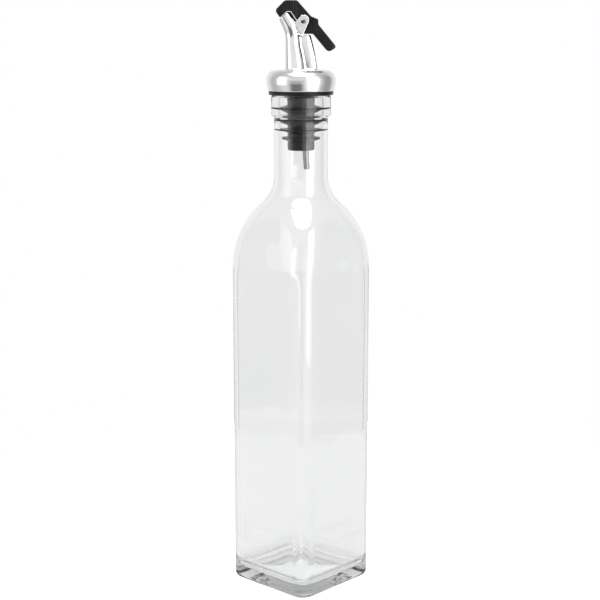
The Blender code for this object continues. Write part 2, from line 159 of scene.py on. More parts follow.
# %% [markdown]
# ## Turned, swept and flat stock
# A maker starts from round bar, tube or sheet. The same three are enough here: a profile turned
# about an upright axis, a round section carried along a path in one plane, and a flat outline given
# a thickness.

# %% Three kinds of stock


def turned(name, profile, segments=128, closed=False, middle=0.0):
    """Profile of (radius, height) turned about the upright axis at x = middle: each point becomes
    (middle + r cos a, r sin a, z)."""
    angle = np.linspace(0, 2 * math.pi, segments, endpoint=False)
    radius, height = np.asarray(profile, float).T
    rings = np.stack([middle + np.outer(radius, np.cos(angle)), np.outer(radius, np.sin(angle)),
                      np.repeat(height[:, None], segments, axis=1)], -1)
    return skin(name, rings, closed)


def swept_rings(path, radius, sides, flatten=1.0):
    """Rings round a path of (x, z) points: centre + r cos a times the path's normal + r sin a
    times Y, where flatten shrinks the part along Y."""
    path, radius = np.asarray(path, float), np.asarray(radius, float)[:, None, None]
    angle = np.linspace(0, 2 * math.pi, sides, endpoint=False)[None, :, None]
    along = unit(np.gradient(path, axis=0))
    normal = np.stack([along[:, 1], 0 * along[:, 0], -along[:, 0]], -1)[:, None]
    centre = np.stack([path[:, 0], 0 * path[:, 0], path[:, 1]], -1)[:, None]
    return centre + radius * (np.cos(angle) * normal + flatten * np.sin(angle) * ALONG_Y)


def flat(name, outline, half_width, middle=0.0, upright=True):
    """Outline of (x, z) points given a thickness along Y, or of (x, y) points along Z."""
    outline = np.asarray(outline, float)
    count = len(outline)
    across, out = (ALONG_Z, ALONG_Y) if upright else (ALONG_Y, ALONG_Z)
    face = outline[:, :1] * ALONG_X + outline[:, 1:] * across
    points = np.vstack([face + (middle - half_width) * out, face + (middle + half_width) * out])
    place = np.arange(count)
    beside = np.roll(place, -1)
    faces = np.stack([place, beside, beside + count, place + count], -1).tolist()
    faces += [place[::-1].tolist(), (place + count).tolist()]
    return new_piece(name, points, faces)


def smooth_path(stations, steps):
    """Curve through every station, an array of stations x values: between two, the cubic whose
    slope at a station is half the difference of its two neighbours."""
    stations = np.asarray(stations, float)
    padded = np.vstack([2 * stations[0] - stations[1], stations, 2 * stations[-1] - stations[-2]])
    p0, p1, p2, p3 = (padded[first:len(padded) - 3 + first, None] for first in range(4))
    t = (np.arange(steps) / steps)[None, :, None]
    curve = 0.5 * (2 * p1 + (p2 - p0) * t + (2 * p0 - 5 * p1 + 4 * p2 - p3) * t ** 2
                   + (3 * p1 - p0 - 3 * p2 + p3) * t ** 3)
    return np.vstack([curve.reshape(-1, stations.shape[1]), stations[-1]])


print("stock: turned, swept and flat")

# %% [markdown]
# ## Cutting, joining and softening
# The spout and the lever come out of a mould, so no edge is sharp. One could model each fillet, but
# there is a simpler way: join the plain forms, cut the bores, lay a fine even mesh over the result
# with a voxel Remesh, and relax it. Every edge then gets a soft radius, as a moulded piece has.

# %% Boolean steps and soft edges


def settle(piece):
    """Makes what the modifiers show the piece's own mesh."""
    shown = piece.evaluated_get(bpy.context.evaluated_depsgraph_get())
    mesh = bpy.data.meshes.new_from_object(shown)
    piece.modifiers.clear()
    piece.data = mesh
    return piece


def shaped(piece, joined=(), kept=(), cut=()):
    """Joins other forms to a piece, keeps what it shares with some, and cuts others out of it."""
    steps = [("UNION", tool) for tool in joined] + [("INTERSECT", tool) for tool in kept]
    steps += [("DIFFERENCE", tool) for tool in cut]
    for operation, tool in steps:
        step = piece.modifiers.new(tool.name, "BOOLEAN")
        step.operation, step.object, step.solver = operation, tool, "EXACT"
    settle(piece)
    for _, tool in steps:
        bpy.data.objects.remove(tool)
    return piece


def softened(piece, voxel, passes):
    """Even mesh of a voxel's size over the piece, relaxed so that its edges become round."""
    remesh = piece.modifiers.new("even mesh", "REMESH")
    remesh.mode, remesh.voxel_size = "VOXEL", voxel
    relax = piece.modifiers.new("relax", "SMOOTH")
    relax.factor, relax.iterations = 0.5, passes
    settle(piece)
    piece.data.shade_smooth()
    return piece


print("Boolean and softening steps are ready")

# %% [markdown]
# ## The pourer's own direction
# The spout leans over a corner of the square bottle. It is easier to model it leaning towards -X
# and to turn the finished mesh by 45 degrees about the bottle's axis. The turn goes into the mesh
# itself, because every object here stays at the origin, unturned.

# %% Turning a piece over the corner and handing it in
POURER_TURN = math.radians(45.0)
QUARTER_COS = math.cos(POURER_TURN)


def over_the_corner(piece):
    """(x, y) becomes ((x - y) cos 45, (x + y) cos 45) for every point of the mesh."""
    count = len(piece.data.vertices)
    points = np.empty(count * 3)
    piece.data.vertices.foreach_get("co", points)
    x, y, z = points.reshape(-1, 3).T
    moved = np.stack([(x - y) * QUARTER_COS, (x + y) * QUARTER_COS, z], -1)
    piece.data.vertices.foreach_set("co", moved.ravel())
    piece.data.update()
    return piece


def hand_in(piece, material, body, slot, *nodes):
    """Gives a piece its finish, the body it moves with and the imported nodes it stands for."""
    piece.data.materials.clear()
    piece.data.materials.append(material)
    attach(piece, body)
    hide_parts(*nodes)
    size = [round(side / MM, 1) for side in piece.dimensions]
    print(f"{piece.name}: {len(piece.data.polygons)} faces, {size} mm, for {', '.join(nodes)}")


# %% [markdown]
# ## Effects that several finishes share
# A node group is a small machine with named inputs and outputs, built once and dropped into every
# material that needs it. Three are enough for this bottle: cloudy smudges from handling, the fine
# rings that a lathe leaves, and the pebbled grain of a moulded surface.

# %% A builder for node groups


def new_group(name, inputs, outputs):
    """Shader group with float inputs {name: default} and outputs {name: socket type}: the group,
    its two ends, and the object's own coordinates."""
    group = bpy.data.node_groups.new(name, "ShaderNodeTree")
    for label, value in inputs.items():
        socket = group.interface.new_socket(label, in_out="INPUT", socket_type="NodeSocketFloat")
        socket.default_value = value
    for label, kind in outputs.items():
        group.interface.new_socket(label, in_out="OUTPUT", socket_type=kind)
    place = group.nodes.new("ShaderNodeTexCoord").outputs["Object"]
    return group, group.nodes.new("NodeGroupInput"), group.nodes.new("NodeGroupOutput"), place


def add_node(tree, kind, settings=None, **inputs):
    """New node with settings and inputs by name, or by number as _0; a socket becomes a link."""
    node = tree.nodes.new(kind)
    for label, value in (settings or {}).items():
        setattr(node, label, value)
    for label, value in inputs.items():
        socket = node.inputs[label.replace("_", " ") if label[0].isupper() else int(label[1:])]
        if isinstance(value, bpy.types.NodeSocket):
            tree.links.new(value, socket)
        else:
            socket.default_value = value
    return node


def maths(tree, operation, *values, clamp=False):
    """Output of a Math node for two or three values."""
    numbered = {f"_{place}": value for place, value in enumerate(values)}
    settings = {"operation": operation, "use_clamp": clamp}
    return add_node(tree, "ShaderNodeMath", settings, **numbered).outputs[0]


def vector_maths(tree, operation, result, **inputs):
    """The output called result of a Vector Math node."""
    node = add_node(tree, "ShaderNodeVectorMath", {"operation": operation}, **inputs)
    return node.outputs[result]


print("node builders are ready")

# %% [markdown]
# ### Smudges
# Nothing that is handled shines evenly: skin leaves cloudy patches that are a little duller. A
# broad noise that is bent by itself looks cloudy at any scale. The group gives a mask from 0 to 1.

# %% The smudge group


def build_smudges():
    """Mask = (noise - 0.5) x sharpness + 0.5, held between 0 and 1."""
    group, given, result, place = new_group("smudges", {"Scale": 40.0, "Sharpness": 2.0},
                                            {"Mask": "NodeSocketFloat"})
    broad = add_node(group, "ShaderNodeTexNoise", Vector=place, Scale=given.outputs["Scale"],
                     Detail=5.0, Roughness=0.55, Distortion=0.8)
    centred = maths(group, "SUBTRACT", broad.outputs["Fac"], 0.5)
    steep = maths(group, "MULTIPLY_ADD", centred, given.outputs["Sharpness"], 0.5, clamp=True)
    group.links.new(steep, result.inputs["Mask"])
    return group


SMUDGES = build_smudges()
print("group:", SMUDGES.name)

# %% [markdown]
# ### Turning marks
# A satin collar is finished on a lathe: an abrasive leaves rings round the axis, each as thin as a
# hair and never quite complete. Noise that changes fast with radius and height, and only slowly
# round the axis, gives such rings. Set wider, the group also breaks up the sheen of drawn steel.

# %% The turning-marks group


def build_turning_marks():
    """Noise read at the direction round the axis times the break-up, and at the sum of radius and
    height times the rings."""
    group, given, result, place = new_group("turning_marks", {"Rings": 9000.0, "Break_up": 6.0},
                                            {"Mask": "NodeSocketFloat"})
    split = add_node(group, "ShaderNodeSeparateXYZ", Vector=place)
    level = add_node(group, "ShaderNodeCombineXYZ", X=split.outputs["X"], Y=split.outputs["Y"])
    radius = vector_maths(group, "LENGTH", "Value", _0=level.outputs[0])
    around = vector_maths(group, "NORMALIZE", "Vector", _0=level.outputs[0])
    outward = maths(group, "ADD", radius, split.outputs["Z"])
    ring = maths(group, "MULTIPLY", outward, given.outputs["Rings"])
    sweep = vector_maths(group, "SCALE", "Vector", _0=around, Scale=given.outputs["Break_up"])
    turn = add_node(group, "ShaderNodeSeparateXYZ", Vector=sweep)
    mixed = add_node(group, "ShaderNodeCombineXYZ", X=turn.outputs["X"], Y=turn.outputs["Y"],
                     Z=ring)
    lines = add_node(group, "ShaderNodeTexNoise", Vector=mixed.outputs[0], Scale=1.0, Detail=3.0,
                     Roughness=0.6)
    group.links.new(lines.outputs["Fac"], result.inputs["Mask"])
    return group


TURNING_MARKS = build_turning_marks()
print("group:", TURNING_MARKS.name)

# %% [markdown]
# ### Moulded grain
# Moulds for rubber and plastic are blasted, which leaves a finely pebbled skin. A Voronoi pattern
# has the right round cells, and a little noise keeps them from looking regular. The group gives a
# height for a Bump node.

# %% The moulded-grain group


def build_grain():
    """Height = distance to the nearest cell's middle + half of the noise."""
    group, given, result, place = new_group("moulded_grain", {"Scale": 6000.0},
                                            {"Height": "NodeSocketFloat"})
    cells = add_node(group, "ShaderNodeTexVoronoi", {"feature": "SMOOTH_F1"}, Vector=place,
                     Scale=given.outputs["Scale"])
    noise = add_node(group, "ShaderNodeTexNoise", Vector=place, Scale=given.outputs["Scale"],
                     Detail=2.0)
    both = maths(group, "MULTIPLY_ADD", noise.outputs["Fac"], 0.5, cells.outputs["Distance"])
    group.links.new(both, result.inputs["Height"])
    return group


GRAIN = build_grain()
print("group:", GRAIN.name)

# %% [markdown]
# ## The finishes
# Each finish is one Principled shader. Its plain numbers are set on its own sockets, and only what
# changes over the surface is wired: colour, roughness and a small bump.

# %% A builder for finishes


def new_finish(name, **plain):
    """Material with a Principled shader whose plain sockets are set by name."""
    material = bpy.data.materials.new(name)
    material.use_nodes = True
    shader = material.node_tree.nodes["Principled BSDF"]
    for label, value in plain.items():
        shader.inputs[label.replace("_", " ")].default_value = value
    return material, material.node_tree, shader


def place_group(tree, group, **values):
    """The group as a node of this material, with its own values."""
    node = tree.nodes.new("ShaderNodeGroup")
    node.node_tree = group
    for label, value in values.items():
        node.inputs[label].default_value = value
    return node


def between(tree, mask, low, high):
    """Turns a mask from 0 to 1 into a value from low to high."""
    node = add_node(tree, "ShaderNodeMapRange", Value=mask, To_Min=low, To_Max=high)
    return node.outputs["Result"]


def tint(tree, mask, first, second):
    """Mixes two colours by a mask."""
    node = add_node(tree, "ShaderNodeMix", {"data_type": "RGBA"}, _0=mask, _6=first, _7=second)
    return node.outputs[2]


def bumped(tree, shader, height, distance, strength=1.0):
    """Feeds a height, in units of distance, to the shader's normal."""
    node = add_node(tree, "ShaderNodeBump", Height=height, Distance=distance, Strength=strength)
    tree.links.new(node.outputs["Normal"], shader.inputs["Normal"])


def grey(value, blue=None):
    """Opaque grey, whose blue may differ a little to make it cooler."""
    return (value, value, value if blue is None else blue, 1.0)


def varied_finish(name, group, settings, tints, roughness, **plain):
    """Finish whose colour and roughness go from a first to a second value with a group's mask."""
    material, tree, shader = new_finish(name, **plain)
    mask = place_group(tree, group, **settings).outputs["Mask"]
    tree.links.new(tint(tree, mask, *tints), shader.inputs["Base Color"])
    tree.links.new(between(tree, mask, *roughness), shader.inputs["Roughness"])
    return material, tree, shader, mask


print("finish builders are ready")

# %% [markdown]
# ### Clear glass
# Soda-lime glass is nearly colourless: what shows is the light it bends, and a faint grey where the
# path through it is long. An index of 1.5 bends the light, and a Volume Absorption darkens it by
# the length of its path, so that edges and base turn greyer by themselves. Shadow rays pass
# through, or the bottle would throw a shadow like a stone.

# %% Clear glass
GLASS_TINT, GLASS_DENSITY = (0.832, 0.837, 0.836, 1.0), 60.0
GLASS_SHADE = (0.88, 0.89, 0.89, 1.0)


def build_clear_glass():
    """Glass that absorbs by the length of the path in it, and is plainly clear to shadow rays."""
    material, tree, shader, _ = varied_finish(
        "clear_glass", SMUDGES, {"Scale": 18.0, "Sharpness": 3.0},
        (grey(1.0), (0.985, 0.99, 0.99, 1.0)), (0.0, 0.012), Transmission_Weight=1.0, IOR=1.5)
    depth = add_node(tree, "ShaderNodeVolumeAbsorption", Color=GLASS_TINT, Density=GLASS_DENSITY)
    through = add_node(tree, "ShaderNodeBsdfTransparent", Color=GLASS_SHADE)
    path = add_node(tree, "ShaderNodeLightPath")
    mix = add_node(tree, "ShaderNodeMixShader", _0=path.outputs["Is Shadow Ray"],
                   _1=shader.outputs["BSDF"], _2=through.outputs["BSDF"])
    output = tree.nodes["Material Output"]
    tree.links.new(mix.outputs[0], output.inputs["Surface"])
    tree.links.new(depth.outputs[0], output.inputs["Volume"])
    return material


CLEAR_GLASS = build_clear_glass()
print("finish:", CLEAR_GLASS.name)

# %% [markdown]
# ### Black rubber
# The stopper is matt black rubber with a bloom that turns it slightly grey in patches. A dark
# colour alone would look like paint, so the smudges change it a little, and the moulded grain
# breaks up its highlights. The low specular level keeps the white room out of it.

# %% Black rubber


def build_moulded(name, smudges, tints, specular, grain, depth):
    """Dark rubber or plastic: smudged, and pebbled by its mould to a depth."""
    material, tree, shader, _ = varied_finish(name, SMUDGES, smudges, tints, (0.30, 0.42),
                                              Specular_IOR_Level=specular)
    bumped(tree, shader, place_group(tree, GRAIN, Scale=grain).outputs["Height"], depth)
    return material


BLACK_RUBBER = build_moulded("black_rubber", {"Scale": 260.0, "Sharpness": 3.0},
                             (grey(0.004), grey(0.011, 0.0115)), specular=0.25, grain=5000.0,
                             depth=0.02 * MM)
print("finish:", BLACK_RUBBER.name)

# %% [markdown]
# ### Black plastic
# The lever is moulded plastic, with a soft sheen and a wider, shallower grain than the rubber's.
# The same builder makes it, because only its numbers differ.

# %% Black plastic
BLACK_PLASTIC = build_moulded("black_plastic", {"Scale": 150.0, "Sharpness": 2.5},
                              (grey(0.004, 0.0045), grey(0.009, 0.0095)), specular=0.28,
                              grain=3500.0, depth=0.015 * MM)
print("finish:", BLACK_PLASTIC.name)

# %% [markdown]
# ### Bright chrome
# The spout is plated and almost mirror bright, with faint smudges from handling. A metal has no
# colour but what it mirrors, so a little roughness that comes and goes is all that it needs: a
# perfect mirror would look like a drawing.

# %% Bright chrome
BRIGHT_CHROME = varied_finish("bright_chrome", SMUDGES, {"Scale": 120.0, "Sharpness": 3.0},
                              (grey(0.90, 0.91), grey(0.84, 0.85)), (0.11, 0.19),
                              Metallic=1.0)[0]
print("finish:", BRIGHT_CHROME.name)

# %% [markdown]
# ### Satin steel
# The collar is steel that was finished on a lathe. Its turning marks could be cut into the mesh,
# but they are finer than any mesh here: as a small bump and a change of roughness they spread the
# highlights just as the real ones do.

# %% Satin steel


def build_satin_steel():
    """Metal whose rings change its colour, its roughness and its height together."""
    material, tree, shader, mask = varied_finish(
        "satin_steel", TURNING_MARKS, {"Rings": 9000.0, "Break_up": 5.0},
        (grey(0.72, 0.725), grey(0.86)), (0.17, 0.27), Metallic=1.0)
    bumped(tree, shader, mask, 0.01 * MM)
    return material


SATIN_STEEL = build_satin_steel()
print("finish:", SATIN_STEEL.name)

# %% [markdown]
# ### Drawn steel
# The air tube and the hinge pin are drawn through a die, which leaves them duller than the collar,
# with fine lines. Both come from one builder, plain for the tube and with darker greys for the pin.
# Those darker greys are painted shade: they stand in for the shadow in the ear's hole, so that the
# pin's end shows as a dark dot.

# %% Drawn steel
DRAWN_ROUGHNESS = 0.25, 0.42


def build_drawn_steel(name, dull, light):
    """Metal between two greys by its smudges, whose drawn lines change the roughness."""
    material, tree, shader = new_finish(name, Metallic=1.0)
    marks = place_group(tree, TURNING_MARKS, Rings=2500.0, Break_up=2.0)
    smudges = place_group(tree, SMUDGES, Scale=300.0, Sharpness=2.0)
    tree.links.new(tint(tree, smudges.outputs["Mask"], grey(dull), grey(light)),
                   shader.inputs["Base Color"])
    tree.links.new(between(tree, marks.outputs["Mask"], *DRAWN_ROUGHNESS),
                   shader.inputs["Roughness"])
    return material


DRAWN_STEEL = build_drawn_steel("drawn_steel", 0.20, 0.30)
# The pin's darker greys, 0.08 to 0.14, are painted shade for the shadow in the ear's hole.
SHADED_PIN_STEEL = build_drawn_steel("pin_steel_painted_shade", 0.08, 0.14)
print("finishes:", DRAWN_STEEL.name, "and", SHADED_PIN_STEEL.name)

# %% [markdown]
# ## The glass bottle
# The bottle is blown in a mould. Its body is a square with round corners, and going up, the flats
# fade and the corners lean in until the section is the round neck. A stack of sections holds such a
# form best when all are written the same way: a rounded square, whose corner radius may grow up to
# half its side, when it has become a circle.

# %% Sections of the bottle
BODY_SIDE, CORNER_RADIUS, WALL = 56.0 * MM, 8.5 * MM, 2.8 * MM
LEAST_CORNER = 2.0 * MM
FLAT_STEPS, CORNER_STEPS = 7, 18


def section_angles():
    """Polar angles of one ring of points, closest together where the body's corners bend."""
    half = BODY_SIDE / 2
    bend = math.atan2(half - CORNER_RADIUS, half)
    stretches = [(0.0, bend, FLAT_STEPS), (bend, math.pi / 2 - bend, CORNER_STEPS),
                 (math.pi / 2 - bend, math.pi / 2, FLAT_STEPS)]
    quarter = np.concatenate([np.linspace(*stretch, endpoint=False) for stretch in stretches])
    return (quarter + np.arange(4)[:, None] * math.pi / 2).ravel()


def section_reach(half_side, radius, angle):
    """Distance from the axis to a rounded square's edge at each polar angle.

    On a flat it is half_side / cos(angle). Round a corner it is where the ray meets the corner's
    circle: the part of the circle's centre along the ray, plus the root of the rest of its radius.
    """
    folded = np.abs((angle + math.pi / 4) % (math.pi / 2) - math.pi / 4)
    centre = half_side - radius
    along = centre * (np.cos(folded) + np.sin(folded))
    bend = along + np.sqrt(np.maximum(along ** 2 - 2 * centre ** 2 + radius ** 2, 0.0))
    return np.where(half_side * np.tan(folded) <= centre, half_side / np.cos(folded), bend)


def inset_section(inset):
    """Half side and corner radius of the body's section moved inwards by inset all round."""
    inset = np.asarray(inset, float)
    return np.stack([BODY_SIDE / 2 - inset, np.maximum(CORNER_RADIUS - inset, LEAST_CORNER)], -1)


def stacked(sections, height):
    """Rows of (half side, corner radius, height) from sections and their heights."""
    return np.column_stack([sections, np.broadcast_to(height, len(sections))])


def round_sections(outline):
    """Circular sections from (radius, height) points."""
    outline = np.asarray(outline, float)
    return outline[:, [0, 0, 1]]


print("one ring of the bottle has", len(section_angles()), "points")

# %% [markdown]
# ### Shoulder and neck
# Seen at a corner, the shoulder is a large convex arc out of the body that meets a small hollow arc
# into the neck. They touch on the line between their centres, so the neck's start follows from the
# two radii. The squareness fades with height along a smooth S curve, and the inside follows the
# same arcs, one wall's thickness deeper.

# %% Shoulder and neck
BODY_TOP, SHOULDER_RADIUS = 173.0 * MM, 44.0 * MM
NECK_FILLET, NECK_RADIUS = 19.0 * MM, 14.0 * MM
SHOULDER_STEPS = 22


def corner_sections(reach, squareness):
    """Sections whose corners are at a distance reach from the axis: with q the corner radius over
    the half side, reach = half side x (root 2 (1 - q) + q)."""
    roundness = 1 - squareness * (1 - 2 * CORNER_RADIUS / BODY_SIDE)
    half_side = reach / (math.sqrt(2) * (1 - roundness) + roundness)
    return np.stack([half_side, roundness * half_side], -1)


def shoulder_sections(depth, steps=SHOULDER_STEPS):
    """Sections from body to neck at a depth below the outer surface, bottom first.

    The convex arc's radius is less by the depth and the hollow arc's more. With s the share of the
    way up, the squareness is 1 - s squared x (3 - 2 s).
    """
    body_reach = math.sqrt(2) * (BODY_SIDE / 2 - CORNER_RADIUS) + CORNER_RADIUS
    low = np.array([body_reach - SHOULDER_RADIUS, BODY_TOP])
    across = NECK_RADIUS + NECK_FILLET - low[0]
    rise = math.sqrt((SHOULDER_RADIUS + NECK_FILLET) ** 2 - across ** 2)
    meeting = math.degrees(math.atan2(rise, across))
    bulge = arc(low, SHOULDER_RADIUS - depth, 0.0, meeting, 2 * steps)
    hollow = arc(low + [across, rise], NECK_FILLET + depth, 180.0 + meeting, 180.0, steps)
    reach, height = np.vstack([bulge, hollow[1:]]).T
    share = np.clip((height - BODY_TOP) / rise, 0.0, 1.0)
    fade = 1 - share ** 2 * (3 - 2 * share)
    return stacked(corner_sections(reach, fade), height)


print("the neck starts at", round(shoulder_sections(0.0)[-1, 2] / MM, 1), "mm")

# %% [markdown]
# ### Base, mouth and the whole skin
# Underneath is a shallow hollow, so that the bottle stands on a ring and doesn't rock. The floor
# inside is thick and slightly domed, and meets the walls in a wide fillet: these bend the light
# into the lines seen at the bottom. The skin runs up the outside, over the lip and down the inside
# as one stack of rings. Blown glass is never quite even inside, so the inner rings carry a ripple
# of a tenth of a millimetre, made of a few sine waves.

# %% Base, mouth and skin
HEEL_RADIUS, PUNT_INSET, PUNT_DEPTH = 3.0 * MM, 10.5 * MM, 2.0 * MM
PUNT_SHARES, PUNT_ROUNDNESS, STANDING_EDGE = np.linspace(0.12, 0.94, 10), 0.35, 0.4 * MM
FLOOR_TOP, FLOOR_RISE, FLOOR_ROUNDING = 5.5 * MM, 0.8 * MM, 8.0 * MM
FLOOR_SHARES, FLOOR_ROUNDNESS = np.linspace(0.9, 0.12, 8), 0.45
BEAD_BOTTOM, BEAD_RADIUS, BEAD_ROUNDING = 251.6 * MM, 15.6 * MM, 1.0 * MM
BEAD_LIFT, BEAD_START = 0.3 * MM, -55.0
# Where the neck turns out into the lip band, from the neck's radius and the band's foot
BEAD_FOOT = np.array([(0.1, -0.4), (0.5, 0.0)]) * MM
LIP_TOP, LIP_ROUNDING, INNER_LIP_ROUNDING = 262.6 * MM, 1.4 * MM, 0.8 * MM
BORE_RADIUS = NECK_RADIUS - WALL
# The ripple's waves: share of its depth, waves round the section, height for one radian, phase
RIPPLE = 0.09 * MM
WAVES = [(1.0, 2, 23 * MM, 0.0), (0.7, 3, -14 * MM, 1.0), (0.5, 5, 9 * MM, 2.0)]
RIPPLE_LEVELS = np.array([12.0, 32.0, 180.0, 205.0]) * MM


def between_levels(section, low, high, count):
    """Rings of one section at even heights, without the first and last."""
    heights = np.linspace(low, high, count + 2)[1:-1]
    return stacked(np.repeat(np.atleast_2d(section), count, axis=0), heights)


def inset_outline(outline):
    """Sections of the body along an outline of (inset, height) points."""
    return stacked(inset_section(outline[:, 0]), outline[:, 1])


def closing(half_side, shares, roundness, height):
    """Sections that shrink by shares towards the axis, whose corner is a share of their side."""
    half_side = half_side * shares
    return stacked(np.stack([half_side, half_side * roundness], -1), height)


def outer_stack():
    """Sections up the outside, from near the middle of the hollow base to the top of the lip. The
    hollow's height is its depth x (1 - share cubed), with share the part of the way out."""
    punt = closing(BODY_SIDE / 2 - PUNT_INSET, PUNT_SHARES, PUNT_ROUNDNESS,
                   PUNT_DEPTH * (1 - PUNT_SHARES ** 3))
    edge = stacked(inset_section([PUNT_INSET, PUNT_INSET - STANDING_EDGE]), 0.0)
    heel = inset_outline(arc((HEEL_RADIUS, HEEL_RADIUS), HEEL_RADIUS, 270.0, 180.0, 10))
    body = between_levels(inset_section(0.0), HEEL_RADIUS, BODY_TOP, 12)
    shoulder = shoulder_sections(0.0)
    neck = between_levels([NECK_RADIUS, NECK_RADIUS], shoulder[-1, 2], BEAD_BOTTOM, 6)
    bead = arc((BEAD_RADIUS - BEAD_ROUNDING, BEAD_BOTTOM + BEAD_ROUNDING + BEAD_LIFT),
               BEAD_ROUNDING, BEAD_START, 0.0, 6)
    lip = arc((BEAD_RADIUS - LIP_ROUNDING, LIP_TOP - LIP_ROUNDING), LIP_ROUNDING, 0.0, 90.0, 8)
    band = round_sections(np.vstack([BEAD_FOOT + [NECK_RADIUS, BEAD_BOTTOM], bead, lip]))
    return np.vstack([punt, edge, heel, body, shoulder, neck, band])


def inner_stack():
    """Sections down the inside, from the top of the mouth to near the middle of the floor, which
    rises by its rise x (1 - share squared)."""
    mouth_level, fillet_level = LIP_TOP - INNER_LIP_ROUNDING, FLOOR_TOP + FLOOR_ROUNDING
    mouth = arc((BORE_RADIUS + INNER_LIP_ROUNDING, mouth_level), INNER_LIP_ROUNDING, 90.0, 180.0, 5)
    shoulder = shoulder_sections(WALL)[::-1]
    neck = between_levels([BORE_RADIUS, BORE_RADIUS], mouth_level, shoulder[0, 2], 8)
    body = between_levels(inset_section(WALL), BODY_TOP, fillet_level, 40)
    fillet = inset_outline(arc((WALL + FLOOR_ROUNDING, fillet_level), FLOOR_ROUNDING,
                               180.0, 270.0, 12))
    floor = closing(BODY_SIDE / 2 - WALL - FLOOR_ROUNDING, FLOOR_SHARES, FLOOR_ROUNDNESS,
                    FLOOR_TOP + FLOOR_RISE * (1 - FLOOR_SHARES ** 2))
    return np.vstack([round_sections(mouth), neck, shoulder, body, fillet, floor])


def ripple(angle, height):
    """Uneven inner wall, fading out at its ends: the sum of each wave's share x sin(count x angle +
    height / length + phase)."""
    wave = sum(share * np.sin(count * angle + height / length + phase)
               for share, count, length, phase in WAVES)
    return RIPPLE * wave * np.interp(height, RIPPLE_LEVELS, [0.0, 1.0, 1.0, 0.0])


def build_bottle():
    """Rings of (reach cos a, reach sin a, height), up the outside and down the inside, where the
    ripple is added to the reach."""
    angle = section_angles()[None]
    outer, inner = outer_stack()[..., None], inner_stack()[..., None]
    reach = section_reach(outer[:, 0], outer[:, 1], angle)
    inner_reach = section_reach(inner[:, 0], inner[:, 1], angle) + ripple(angle, inner[:, 2])
    reach = np.vstack([reach, inner_reach])
    height = np.broadcast_to(np.vstack([outer[:, 2], inner[:, 2]]), reach.shape)
    rings = np.stack([reach * np.cos(angle), reach * np.sin(angle), height], -1)
    return skin("bottle_skin", rings, sharp_angle=60.0)


hand_in(build_bottle(), CLEAR_GLASS, "bottle", "clear_glass", "bottle_glass")

# %% [markdown]
# ## The rubber stopper
# The stopper seals by its fins: thin rings, wider than the bore, that bend upwards as it is pushed
# in. It is a turned shape, so a profile says it all. The fins' tips reach a hair's breadth into the
# glass, which is what rubber pressed on glass looks like: no film of air is left to glitter.

# %% Rubber stopper
STOPPER_END, CORE_RADIUS, FLANGE_TOP = 234.1 * MM, 7.0 * MM, 264.6 * MM
PRESSED_RADIUS = BORE_RADIUS + 0.04 * MM
# Corners of the flange and of the thicker foot under it: radius, height, rounding
STOPPER_TOP = np.array([(0.0, 264.6, 0.0), (16.8, 264.6, 0.5), (16.8, 262.6, 0.5),
                        (9.2, 262.6, 0.3), (8.3, 261.4, 0.8), (7.3, 259.6, 1.0)]) * MM
# Height, tip radius, root radius, half thickness at the tip and at the root of each fin
FINS = np.array([
    (255.4 * MM, PRESSED_RADIUS, 8.4 * MM, 0.45 * MM, 1.5 * MM),
    (249.8 * MM, PRESSED_RADIUS, 8.4 * MM, 0.50 * MM, 1.7 * MM),
    (244.4 * MM, PRESSED_RADIUS, 7.9 * MM, 0.40 * MM, 0.7 * MM),
    (240.0 * MM, 10.0 * MM, 7.9 * MM, 0.40 * MM, 0.7 * MM),
])
FIN_BEND, FIN_FOOT, ROOT_ROUNDING, TIP_ROUNDING = 0.45 * MM, 0.6 * MM, 0.3 * MM, 0.15 * MM
END_ROUNDING, POUR_BORE_X, POUR_BORE_RADIUS = 0.8 * MM, -2.8 * MM, 2.0 * MM
AIR_TUBE_X, VENT_RADIUS = 2.3 * MM, 1.62 * MM
BORES = {"pouring_bore": (POUR_BORE_X, POUR_BORE_RADIUS), "vent_bore": (AIR_TUBE_X, VENT_RADIUS)}


def fin_corners():
    """Six corners for each fin, from the core out along its top and back along its underside."""
    height, tip, root, thin, thick = FINS.T
    core = np.full_like(height, CORE_RADIUS)
    soft, crisp = np.full_like(height, ROOT_ROUNDING), np.full_like(height, TIP_ROUNDING)
    corners = [(core, height + thick + FIN_FOOT, soft), (root, height + thick, soft),
               (tip, height + thin + FIN_BEND, crisp), (tip, height - thin + FIN_BEND, crisp),
               (root, height - thick, soft), (core, height - thick - FIN_FOOT, soft)]
    return np.stack([np.stack(corner, -1) for corner in corners], 1).reshape(-1, 3)


def build_stopper():
    """Flange, fins and rounded end as one turned profile, less the two round bores."""
    end = np.array([(CORE_RADIUS, STOPPER_END, END_ROUNDING), (0.0, STOPPER_END, 0.0)])
    profile = rounded(np.vstack([STOPPER_TOP, fin_corners(), end]), steps=4)
    stopper = turned("stopper_rubber", profile, segments=144)
    bores = [turned(name, [(radius, STOPPER_END - MM), (radius, FLANGE_TOP + MM)], 48, middle=x)
             for name, (x, radius) in BORES.items()]
    return over_the_corner(shaped(stopper, cut=bores))


hand_in(build_stopper(), BLACK_RUBBER, "bottle", "black_rubber", "stopper")

# %% [markdown]
# ## The air tube
# While oil leaves by one bore, air has to come in by another, or the bottle would gurgle. A thin
# steel tube brings it in below the stopper. Its free end is bent a little aside. The skin runs up
# the outside and back down the bore, so that the open end shows a real wall.

# %% Air tube
AIR_TUBE_RADIUS, AIR_TUBE_WALL = 1.6 * MM, 0.5 * MM
# How far the tube bends aside, and the height, from its top down
AIR_TUBE_PATH = np.array([(0.0, 263.3), (0.0, 250.0), (0.0, 238.0), (0.12, 233.0),
                          (0.45, 228.0), (0.75, 224.2)]) * MM


